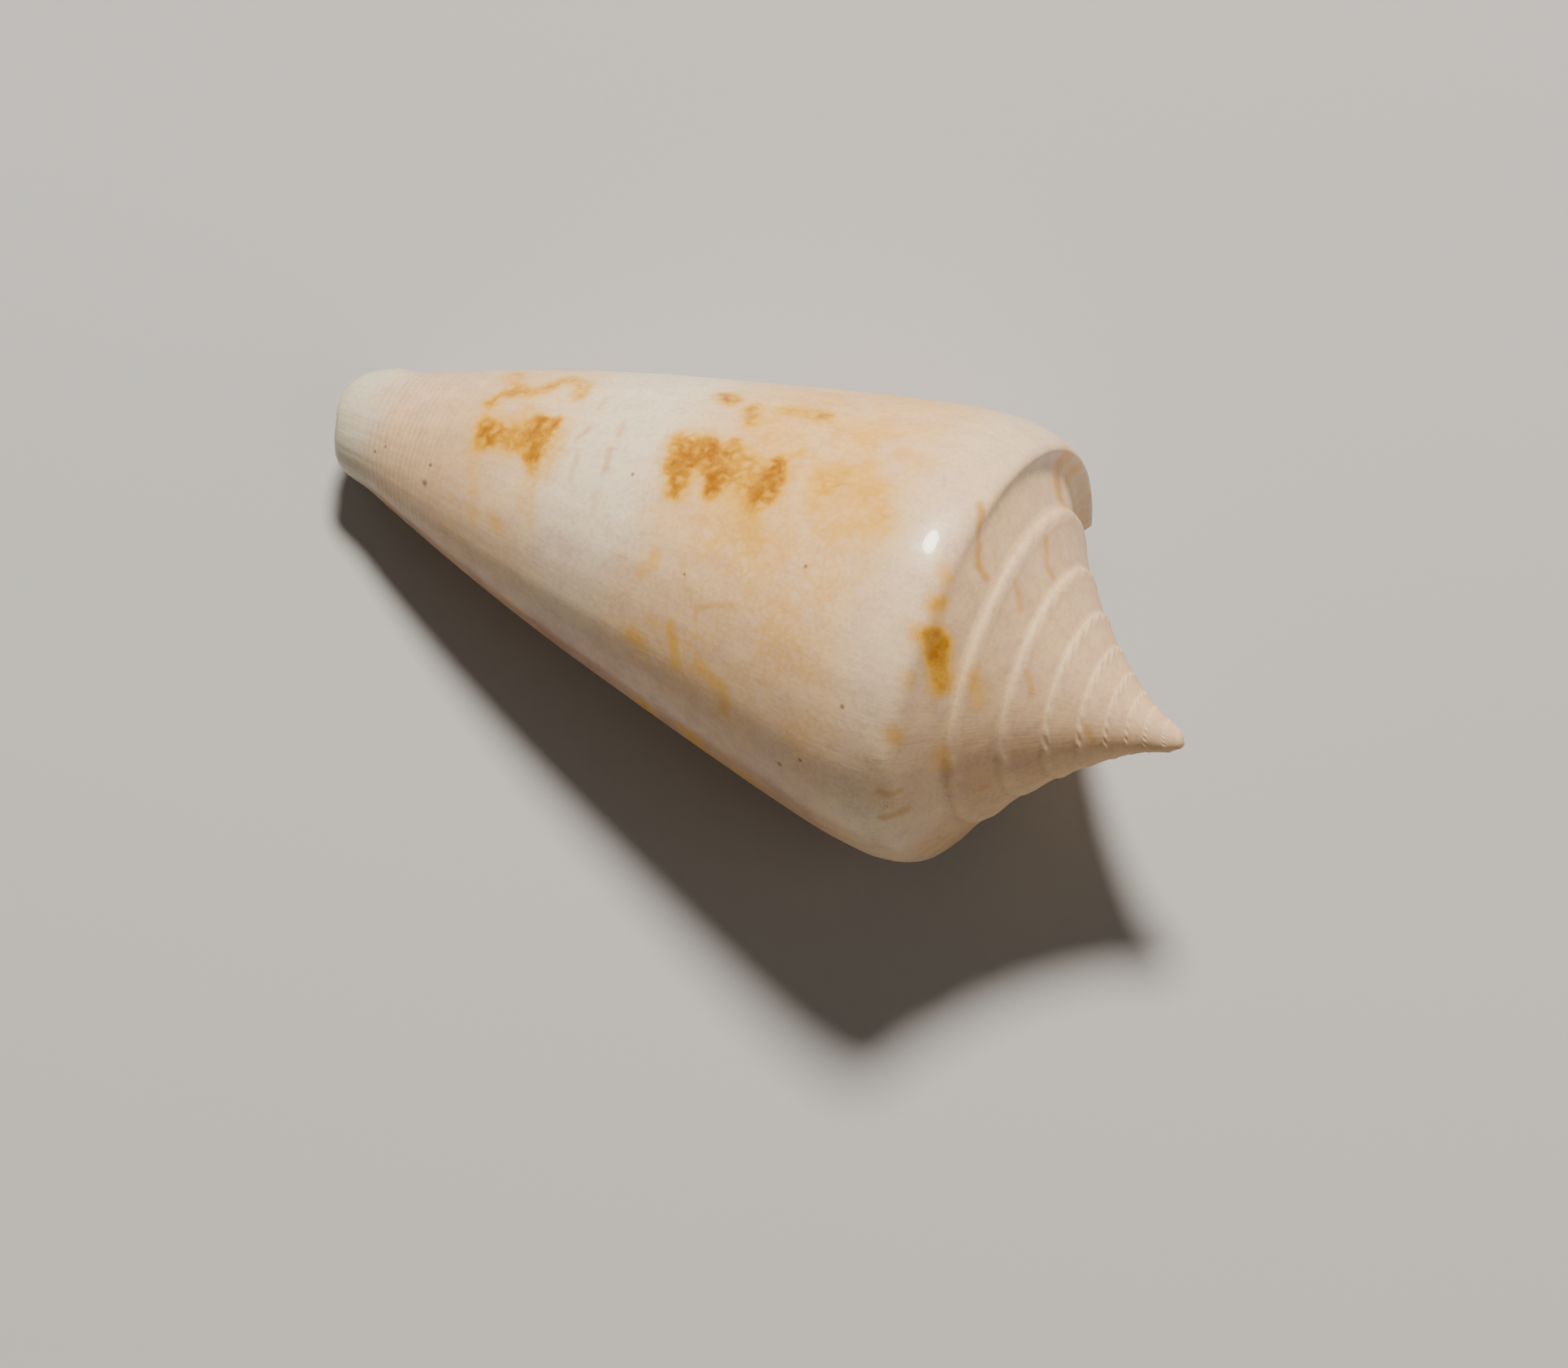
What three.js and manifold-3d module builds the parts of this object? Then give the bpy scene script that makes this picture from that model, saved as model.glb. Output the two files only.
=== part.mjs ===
// A cone shell: one coiled, hollow piece with a pointed spire, a ridged shoulder and a long body
// that tapers to an obliquely cut base, where its narrow aperture opens.
// Millimetres, +Z up. The shell lies on its aperture side with its apex towards +X, and its origin
// is the middle of its footprint.
//
// Every point of the surface is given by t, the turns from the apex, and by a row of the whorl's
// section: rows over the ramp, from the suture to the shoulder, and then down the side.

import * as THREE from 'three';
import { mergeVertices } from 'three/addons/utils/BufferGeometryUtils.js';
import Module from 'manifold-3d';

// Driving dimensions
const TURNS = 10; // whorls from the apex to the outer lip
const LENGTH = 30.3; // from the apex to the base, along the axis
const RIM_RADIUS = 8.25; // shoulder radius at the outer lip
const GROWTH = 1.385; // how much wider a whorl is than the one before it
const WALL = 0.55; // wall thickness at the shoulder
const BASE_WALL = 0.34; // wall thickness at the base
const LIP_SHARPNESS = 0.6; // share of the wall's thickness that is left at the lip's edge
const CAVITY_TURNS = 0.9; // how far back the hollow is modelled
const SLIT_TURNS = 0.35; // how far back the hollow is open at the base

// Resting place
const LIP_ANGLE = -50; // degrees round the axis, from the left outline to the outer lip
const UP_ANGLE = 79.16; // degrees round the axis, from the same outline to the line that faces up
const REST_TILT = 11.73; // degrees that the axis rises towards the apex
const APEX_PLACE = [14.996, -0.499, 7.949]; // low enough that the ground wears 0.08 off the lowest spots

// Facets
const COLUMNS = 48; // per turn
const FIRST_TURN = 2; // the first two turns are one small cap
const RAMP_ROWS = [0, 0.3, 0.52, 0.72, 0.88, 1];
const SIDE_ROWS = [0, 0.03, 0.08, 0.15, 0.24, 0.34, 0.45, 0.56, 0.67, 0.77, 0.86, 0.93, 0.97, 1];

// Radius of a whorl's shoulder, and depth of its crest below the apex
const SPIRE = [
  [0, 0], [0.25, 0.09], [0.42, 0.35], [0.63, 0.98], [1.57, 2.5], [3.09, 4.25],
  [4.71, 5.68], [6.6, 6.85], [8, 7.45], [8.6, 7.7],
];

// Step over the ramp, share of the ramp's width, rise towards the apex in ramp widths
const EARLY_RAMP = [
  [0, 0, 0], [0.2, 0.22, 0], [0.45, 0.48, 0.02], [0.65, 0.68, 0.08], [0.78, 0.82, 0.12],
  [0.88, 0.93, 0.08], [0.95, 0.985, -0.02], [1, 1, -0.14],
];
const LAST_RAMP = [
  [0, 0, 0], [0.15, 0.18, -0.03], [0.3, 0.37, -0.08], [0.42, 0.52, -0.11], [0.52, 0.62, -0.08],
  [0.64, 0.71, 0.01], [0.72, 0.78, 0.03], [0.8, 0.85, -0.03], [0.88, 0.92, -0.19],
  [0.94, 0.97, -0.38], [1, 1, -0.62],
];

// Share of the way from the shoulder to the base, and of the shoulder's radius
const SIDE = [
  [0, 1], [0.06, 0.985], [0.16, 0.93], [0.3, 0.838], [0.43, 0.747], [0.56, 0.652],
  [0.69, 0.545], [0.82, 0.42], [0.89, 0.345], [0.945, 0.282], [0.975, 0.258], [1, 0.225],
];

// Curves

function smooth(from, to, x) {
  const y = Math.min(Math.max((x - from) / (to - from), 0), 1);
  return y * y * (3 - 2 * y);
}

// A curve through the points that never overshoots them
function curve(points, column) {
  const xs = points.map((point) => point[0]);
  const ys = points.map((point) => point[column]);
  const gaps = xs.slice(1).map((x, k) => x - xs[k]);
  const slopes = gaps.map((gap, k) => (ys[k + 1] - ys[k]) / gap);
  const endSlope = (gap, next, slope, nextSlope) => {
    const value = ((2 * gap + next) * slope - gap * nextSlope) / (gap + next);
    if (value * slope <= 0) return 0;
    return slope * nextSlope <= 0 && Math.abs(value) > 3 * Math.abs(slope) ? 3 * slope : value;
  };
  const last = gaps.length - 1;
  const tangents = xs.map((_, k) => {
    if (k === 0) return endSlope(gaps[0], gaps[1], slopes[0], slopes[1]);
    if (k > last) return endSlope(gaps[last], gaps[last - 1], slopes[last], slopes[last - 1]);
    if (slopes[k - 1] * slopes[k] <= 0) return 0;
    const before = 2 * gaps[k] + gaps[k - 1];
    const after = gaps[k] + 2 * gaps[k - 1];
    return (before + after) / (before / slopes[k - 1] + after / slopes[k]);
  });
  return (x) => {
    const bounded = Math.min(Math.max(x, xs[0]), xs[last + 1]);
    let k = 0;
    while (k < last && bounded > xs[k + 1]) k += 1;
    const gap = gaps[k];
    const s = (bounded - xs[k]) / gap;
    const rest = 1 - s;
    return (1 + 2 * s) * rest * rest * ys[k] + s * rest * rest * gap * tangents[k]
      + s * s * (3 - 2 * s) * ys[k + 1] - s * s * rest * gap * tangents[k + 1];
  };
}

const crestDepth = curve(SPIRE, 1);
const sideShare = curve(SIDE, 1);
const earlyRamp = [curve(EARLY_RAMP, 1), curve(EARLY_RAMP, 2)];
const lastRamp = [curve(LAST_RAMP, 1), curve(LAST_RAMP, 2)];

// The whorl's section, as radius and depth below the apex

function shoulderRadius(t) {
  if (t <= 0) return 0;
  const middle = TURNS - 0.65;
  const swell = 0.03 * (smooth(TURNS - 1.2, middle, t) - smooth(middle, TURNS - 0.1, t));
  const start = 1 - Math.exp(-2.2 * t);
  return RIM_RADIUS * GROWTH ** (t - TURNS) * (1 + swell) * start;
}

function rampShape(t, q) {
  const last = smooth(TURNS - 1.35, TURNS - 0.45, t);
  return [0, 1].map((k) => earlyRamp[k](q) * (1 - last) + lastRamp[k](q) * last);
}

// Depth of the shoulder's outermost line, where the next whorl is laid on
function edgeDepth(t) {
  if (t <= 0) return 0;
  const radius = shoulderRadius(t);
  const width = radius - shoulderRadius(t - 1);
  return crestDepth(radius) - rampShape(t, 1)[1] * width;
}

function rampPoint(t, q) {
  const radius = shoulderRadius(t);
  const inner = shoulderRadius(t - 1);
  const top = edgeDepth(t - 1);
  const [x, rise] = rampShape(t, q);
  const lift = 0.22 * smooth(TURNS - 0.22, TURNS, t)
    * smooth(0.45, 0.72, q) * (1 - smooth(0.74, 1, q));
  const depth = top + (crestDepth(radius) - top) * x - rise * (radius - inner) - lift;
  return [inner + (radius - inner) * x, depth];
}

function sidePoint(t, w) {
  const top = edgeDepth(t);
  const taper = 0.2 * (TURNS - 0.13 - t) + 0.25 * smooth(TURNS - 0.6, TURNS - 1, t);
  const flare = 0.1 * smooth(TURNS - 0.12, TURNS, t) * w;
  return [shoulderRadius(t) * sideShare(w) * (1 - w * w * (taper - flare)), top + (LENGTH - top) * w];
}

// How far round the growth lines run ahead of, or behind, a straight line, in turns: a notch in the
// ramp, and a bow along the side

function rampSlant(q) {
  return -0.035 * Math.sin(Math.PI * q);
}

function sideSlant(w) {
  return 0.022 * Math.sin(Math.PI * w) - 0.03 * w * w;
}

// Points of the surface

function place(t, [radius, depth]) {
  const angle = THREE.MathUtils.degToRad(LIP_ANGLE - 360 * (t - TURNS) - UP_ANGLE);
  return new THREE.Vector3(radius * Math.cos(angle), radius * Math.sin(angle), -depth);
}

const LIP_COLUMN = TURNS * COLUMNS;
const BODY_COLUMN = LIP_COLUMN - COLUMNS;
const FIRST_COLUMN = FIRST_TURN * COLUMNS;
const END_COLUMN = LIP_COLUMN - Math.round(CAVITY_TURNS * COLUMNS);
const SLIT_COLUMN = LIP_COLUMN - Math.round(SLIT_TURNS * COLUMNS);
const SHOULDER_ROW = RAMP_ROWS.length - 1;
const BASE_ROW = SHOULDER_ROW + SIDE_ROWS.length - 1;
const CEILING_ROWS = 3; // rows of the hollow under the ramp
const INNER_ROWS = CEILING_ROWS + SIDE_ROWS.length - 3;

const points = [];
const triangles = [];
const known = new Map();

function vertex(name, make) {
  if (!known.has(name)) {
    known.set(name, points.length);
    points.push(make());
  }
  return known.get(name);
}

// The outside; each whorl's shoulder row is the next whorl's suture
function outer(column, row) {
  if (row === SHOULDER_ROW && column + COLUMNS <= LIP_COLUMN) return outer(column + COLUMNS, 0);
  return vertex(`outer ${column} ${row}`, () => {
    if (row <= SHOULDER_ROW) {
      const q = RAMP_ROWS[row];
      const t = column / COLUMNS + rampSlant(q);
      return place(t, rampPoint(t, q));
    }
    const w = SIDE_ROWS[row - SHOULDER_ROW];
    const t = column / COLUMNS + sideSlant(w);
    return place(t, sidePoint(t, w));
  });
}

// How much of the side the hollow reaches down: all of it at the slit, less further in
function hollowReach(t) {
  return 1 - 0.6 * smooth(TURNS - SLIT_TURNS, TURNS - CAVITY_TURNS, t);
}

// The wall of the whorl before, inside the hollow; it draws back from the lip towards the base
function core(column, row) {
  if (column === BODY_COLUMN) return outer(column, row);
  return vertex(`core ${column} ${row}`, () => {
    const w = SIDE_ROWS[row - SHOULDER_ROW];
    const t = column / COLUMNS + sideSlant(w);
    const reach = row === SHOULDER_ROW + 1 ? w : w * hollowReach(column / COLUMNS + 1);
    const [radius, depth] = sidePoint(t, reach);
    const drawnBack = 0.2 * reach * reach * smooth(TURNS - 1, TURNS - 1.2, t);
    return place(t, [radius * (1 - drawnBack), depth]);
  });
}

// The inside of the outer wall, under the ramp and down the side
function inner(column, row) {
  if (row === 0) return core(column - COLUMNS, SHOULDER_ROW + 1);
  return vertex(`inner ${column} ${row}`, () => {
    const sharpness = 1 - (1 - LIP_SHARPNESS) * smooth(TURNS - 0.06, TURNS, column / COLUMNS);
    const wallPoint = (sideRow) => {
      const w = SIDE_ROWS[sideRow];
      const t = column / COLUMNS + sideSlant(w);
      const reach = w * hollowReach(column / COLUMNS);
      const [radius, depth] = sidePoint(t, reach);
      const wall = (WALL + (BASE_WALL - WALL) * reach) * sharpness;
      return { t, radius: radius - wall, depth };
    };
    if (row >= CEILING_ROWS) {
      const { t, radius, depth } = wallPoint(row - CEILING_ROWS + 2);
      return place(t, [radius, depth]);
    }
    const s = row / CEILING_ROWS;
    const end = wallPoint(2);
    const w = SIDE_ROWS[1];
    const t = column / COLUMNS + sideSlant(w) + rampSlant(s);
    const [radius, depth] = sidePoint(t - 1, w);
    const corner = depth + 0.3;
    const mix = (from, middle, to) => from * (1 - s) ** 2 + 2 * middle * s * (1 - s) + to * s * s;
    return place(t, [mix(radius, end.radius, end.radius), mix(depth, corner, end.depth)]);
  });
}

// Faces

function triangle(a, b, c) {
  if (a !== b && b !== c && c !== a) triangles.push(a, b, c);
}

function sheet(getVertex, firstColumn, lastColumn, firstRow, lastRow, facesOut) {
  for (let column = firstColumn; column < lastColumn; column += 1) {
    for (let row = firstRow; row < lastRow; row += 1) {
      const a = getVertex(column, row);
      const b = getVertex(column + 1, row);
      const c = getVertex(column + 1, row + 1);
      const d = getVertex(column, row + 1);
      if (facesOut) {
        triangle(a, b, c);
        triangle(a, c, d);
      } else {
        triangle(a, c, b);
        triangle(a, d, c);
      }
    }
  }
}

// Triangles between two lines of points that run side by side
function bridge(left, right) {
  const shares = (line) => {
    const lengths = [0];
    for (let k = 1; k < line.length; k += 1) {
      lengths.push(lengths[k - 1] + points[line[k]].distanceTo(points[line[k - 1]]));
    }
    return lengths.map((length) => length / lengths[lengths.length - 1]);
  };
  const leftShares = shares(left);
  const rightShares = shares(right);
  let l = 0;
  let r = 0;
  while (l < left.length - 1 || r < right.length - 1) {
    const nextLeft = l < left.length - 1 ? leftShares[l + 1] : Infinity;
    const nextRight = r < right.length - 1 ? rightShares[r + 1] : Infinity;
    if (nextLeft <= nextRight) {
      triangle(left[l], left[l + 1], right[r]);
      l += 1;
    } else {
      triangle(left[l], right[r + 1], right[r]);
      r += 1;
    }
  }
}

function fan(middle, loop) {
  loop.forEach((from, k) => triangle(middle, from, loop[(k + 1) % loop.length]));
}

function range(from, to) {
  const step = from <= to ? 1 : -1;
  return Array.from({ length: Math.abs(to - from) + 1 }, (_, k) => from + step * k);
}

// The cap over the first turns
function cap() {
  const tip = vertex('tip', () => new THREE.Vector3(0, 0, 0));
  const spiral = range(FIRST_COLUMN, FIRST_COLUMN + COLUMNS).map((column) => outer(column, 0));
  const step = range(SHOULDER_ROW - 1, 1).map((row) => outer(FIRST_COLUMN, row));
  fan(tip, [...spiral, ...step].reverse());
}

// The solid middle of the base, beside the slit
function baseCore() {
  const slit = range(SLIT_COLUMN - COLUMNS, BODY_COLUMN).map((column) => core(column, BASE_ROW));
  const rim = range(BODY_COLUMN + 1, SLIT_COLUMN).map((column) => outer(column, BASE_ROW));
  const loop = [...slit, ...rim, inner(SLIT_COLUMN, INNER_ROWS)];
  const middle = vertex('base', () => {
    const sum = new THREE.Vector3();
    loop.forEach((index) => sum.add(points[index]));
    return sum.divideScalar(loop.length);
  });
  fan(middle, loop);
}

function lipFace() {
  const outside = range(0, BASE_ROW).map((row) => outer(LIP_COLUMN, row));
  const inside = range(0, INNER_ROWS).map((row) => inner(LIP_COLUMN, row));
  const corner = SHOULDER_ROW + 2;
  bridge(inside.slice(0, CEILING_ROWS + 1), outside.slice(0, corner + 1));
  bridge(inside.slice(CEILING_ROWS), outside.slice(corner));
}

function hollowEnd() {
  const wall = range(0, INNER_ROWS).map((row) => inner(END_COLUMN, row));
  const before = range(SHOULDER_ROW + 1, BASE_ROW).map((row) => core(END_COLUMN - COLUMNS, row));
  bridge(before, wall);
}

function hollowFloor() {
  const wall = range(END_COLUMN, SLIT_COLUMN).map((column) => inner(column, INNER_ROWS));
  const before = range(END_COLUMN, SLIT_COLUMN).map((column) => core(column - COLUMNS, BASE_ROW));
  bridge(before, wall);
}

function rimFace() {
  const outside = range(SLIT_COLUMN, LIP_COLUMN).map((column) => outer(column, BASE_ROW));
  const inside = range(SLIT_COLUMN, LIP_COLUMN).map((column) => inner(column, INNER_ROWS));
  bridge(outside, inside);
}

sheet(outer, FIRST_COLUMN, LIP_COLUMN, 0, SHOULDER_ROW, true);
sheet(outer, BODY_COLUMN, LIP_COLUMN, SHOULDER_ROW, BASE_ROW, true);
sheet(core, END_COLUMN - COLUMNS, BODY_COLUMN, SHOULDER_ROW + 1, BASE_ROW, true);
sheet(inner, END_COLUMN, LIP_COLUMN, 0, INNER_ROWS, false);
cap();
lipFace();
rimFace();
hollowFloor();
hollowEnd();
baseCore();

// The solid

const wasm = await Module();
wasm.setup();

function toSolid(geometry) {
  return new wasm.Manifold(new wasm.Mesh({
    numProp: 3,
    vertProperties: new Float32Array(geometry.attributes.position.array),
    triVerts: new Uint32Array(geometry.index.array),
  }));
}

function toGeometry(solid) {
  const mesh = solid.getMesh();
  const geometry = new THREE.BufferGeometry();
  geometry.setAttribute('position', new THREE.BufferAttribute(mesh.vertProperties, 3));
  geometry.setIndex(new THREE.BufferAttribute(mesh.triVerts, 1));
  geometry.computeVertexNormals();
  return geometry;
}

// Turns the upright shell onto its side, apex towards +X, and puts it in its place
function restingPlace() {
  const tilt = THREE.MathUtils.degToRad(REST_TILT);
  const axis = new THREE.Vector3(Math.cos(tilt), 0, Math.sin(tilt));
  const up = new THREE.Vector3(-Math.sin(tilt), 0, Math.cos(tilt));
  const across = new THREE.Vector3().crossVectors(axis, up);
  return new THREE.Matrix4().makeBasis(up, across, axis).setPosition(...APEX_PLACE);
}

const skin = new THREE.BufferGeometry();
skin.setAttribute('position', new THREE.Float32BufferAttribute(points.flatMap((p) => p.toArray()), 3));
skin.setIndex(triangles);
skin.applyMatrix4(restingPlace());

const ground = new THREE.BoxGeometry(4 * LENGTH, 4 * LENGTH, LENGTH);
ground.deleteAttribute('normal');
ground.deleteAttribute('uv');
ground.translate(0, 0, -LENGTH / 2);

const shell = new THREE.Mesh(
  toGeometry(toSolid(skin).subtract(toSolid(mergeVertices(ground)))),
  new THREE.MeshStandardMaterial({ color: 0xe6d2bd, roughness: 0.25, metalness: 0 }),
);
shell.name = 'shell';

const group = new THREE.Group();
group.add(shell);

export default group;
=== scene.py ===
# A cone shell lying on its aperture side: one coiled piece of glossy cream and white porcelain, with
# amber blotches and a faint amber net. Millimetres throughout; the meshes are made in metres.

import bpy
import numpy as np
from mathutils import Matrix, Vector


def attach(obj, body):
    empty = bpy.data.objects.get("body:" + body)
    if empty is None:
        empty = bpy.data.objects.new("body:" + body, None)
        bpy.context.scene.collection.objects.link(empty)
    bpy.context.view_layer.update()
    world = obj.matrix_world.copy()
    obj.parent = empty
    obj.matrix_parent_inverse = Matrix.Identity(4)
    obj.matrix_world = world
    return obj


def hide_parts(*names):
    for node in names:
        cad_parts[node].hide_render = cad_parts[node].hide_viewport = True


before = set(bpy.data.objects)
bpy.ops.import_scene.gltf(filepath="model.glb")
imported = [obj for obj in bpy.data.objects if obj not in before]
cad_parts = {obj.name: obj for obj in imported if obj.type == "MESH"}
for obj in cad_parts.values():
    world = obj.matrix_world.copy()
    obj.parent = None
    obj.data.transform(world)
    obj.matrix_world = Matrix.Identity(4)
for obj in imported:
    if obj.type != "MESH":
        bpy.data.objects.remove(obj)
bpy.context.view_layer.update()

MM = 0.001

# Form of the shell
TURNS = 10  # whorls from the apex to the outer lip
LENGTH = 30.3  # from the apex to the base, along the axis
RIM_RADIUS = 8.25  # shoulder radius at the outer lip
GROWTH = 1.385  # how much wider a whorl is than the one before it
LAST_SWELL = 0.03  # share by which the last whorl swells out before the lip
APEX_BLUNTNESS = 2.2  # how soon the first whorl reaches its width
RAMP_SLANT = -0.035  # how far the growth lines bend on the ramps, in turns
SIDE_BOW = 0.022  # how far they bow on the side, and how far they lag at the base
SIDE_LAG = 0.03
WALL = 0.55  # wall thickness at the shoulder
BASE_WALL = 0.34  # wall thickness at the base
LIP_SHARPNESS = 0.6  # share of the wall's thickness that is left at the lip's edge
LIP_ROUNDING = 0.2  # how far the lip's edge bulges
LIP_LIFT = 0.22  # how far the last ramp's ridge rises towards the lip
LIP_TONGUE = 0.022  # how much further round the lip reaches inside its shoulder, in turns
BASE_TAPER = 0.2  # share by which the base narrows in a turn away from the lip
BASE_FLARE = 0.1  # share by which it widens again at the lip
BASE_REACH = 0.32  # how much further the base reaches on its upper near side
BASE_REACH_ANGLE = 48  # degrees round the axis, with the spread to each side
BASE_REACH_SPREAD = 50
BASE_FOLD = 0.14  # height of the fold just before the base's end
BASE_FOLD_ANGLE = 0  # degrees round the axis, with the spread to each side
BASE_FOLD_SPREAD = 38
BASE_FOLD_PLACE = 0.955  # share of the way to the base, with the fold's width
BASE_FOLD_WIDTH = 0.022
CAVITY_TURNS = 0.9  # how far back the hollow is modelled
SLIT_TURNS = 0.35  # how far back the hollow is open at the base

# Fine relief of the surface
SWELL = 0.010  # height of the growth swellings
SWELLS_PER_TURN = 11
SMALL_SWELLS_PER_TURN = 29
BEAD = 0.012  # height of the beads on the ridge, where the shoulder's radius is 1
BEADS_PER_TURN = 23
RIDGE_PLACE = 0.86  # share of the ramp where the ridge lies, and its width
RIDGE_WIDTH = 0.08

# Resting place
LIP_ANGLE = -50  # degrees round the axis, from the upper outline in the photo to the outer lip
UP_ANGLE = 79.16  # degrees round the axis, from the same outline to the line that faces up
REST_TILT = 11.73  # degrees that the axis rises towards the apex
APEX_PLACE = np.array([14.996, -0.499, 7.949])

# Facets
COLUMNS = 240  # per turn
FIRST_TURN = 1  # where the ramps start; a cap covers the turn before
LIP_ROWS = 6  # strips over the lip's edge
CEILING_ROWS = 8  # rows of the hollow under the ramp
RAMP_ROWS = np.concatenate([np.linspace(0, 0.5, 8), np.linspace(0.55, 1, 13)])
SIDE_ROWS = np.concatenate([np.linspace(0, 0.03, LIP_ROWS + 1), np.linspace(0.038, 1, 138)])
HOLLOW_ROWS = np.concatenate([[SIDE_ROWS[LIP_ROWS], 0.05], np.linspace(0.08, 1, 26)])
HOLLOW_TOP = 2  # the hollow row where its ceiling meets the outer wall

# Radius of a whorl's shoulder, and depth of its crest below the apex
SPIRE = [
    (0, 0), (0.25, 0.09), (0.42, 0.35), (0.63, 0.98), (1.57, 2.5), (3.09, 4.25),
    (4.71, 5.68), (6.6, 6.85), (8, 7.45), (8.6, 7.7),
]

# Step over the ramp, share of the ramp's width, rise towards the apex in ramp widths
EARLY_RAMP = [
    (0, 0, 0), (0.25, 0.27, 0), (0.5, 0.53, 0.005), (0.66, 0.69, 0.012), (0.78, 0.81, 0.034),
    (0.88, 0.91, 0.042), (0.95, 0.975, -0.005), (1, 1, -0.09),
]
LAST_RAMP = [
    (0, 0, 0), (0.15, 0.18, -0.01), (0.3, 0.37, -0.03), (0.42, 0.52, -0.05), (0.52, 0.62, -0.055),
    (0.64, 0.72, -0.055), (0.72, 0.79, -0.07), (0.8, 0.86, -0.11), (0.88, 0.925, -0.21),
    (0.94, 0.97, -0.38), (1, 1, -0.62),
]
LIP_RAMP = [
    (0, 0, 0), (0.15, 0.16, -0.05), (0.3, 0.33, -0.1), (0.42, 0.46, -0.12), (0.52, 0.57, -0.1),
    (0.64, 0.7, -0.03), (0.72, 0.78, 0.02), (0.8, 0.85, -0.01), (0.88, 0.92, -0.16),
    (0.94, 0.97, -0.37), (1, 1, -0.62),
]

# Share of the way from the shoulder to the base, and of the shoulder's radius
SIDE = [
    (0, 1), (0.06, 0.985), (0.16, 0.93), (0.3, 0.838), (0.43, 0.747), (0.56, 0.652),
    (0.69, 0.545), (0.82, 0.42), (0.89, 0.345), (0.945, 0.284), (0.975, 0.262), (0.99, 0.244),
    (1, 0.215),
]

# Marks. Each has a strength, a half width in mm, and a line of points. On the side the points are in
# degrees round from the photo's upper outline and in shares of the way from the shoulder to the base.
# On the ramps they are in turns from the apex and in shares of the ramp's step.

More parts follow.
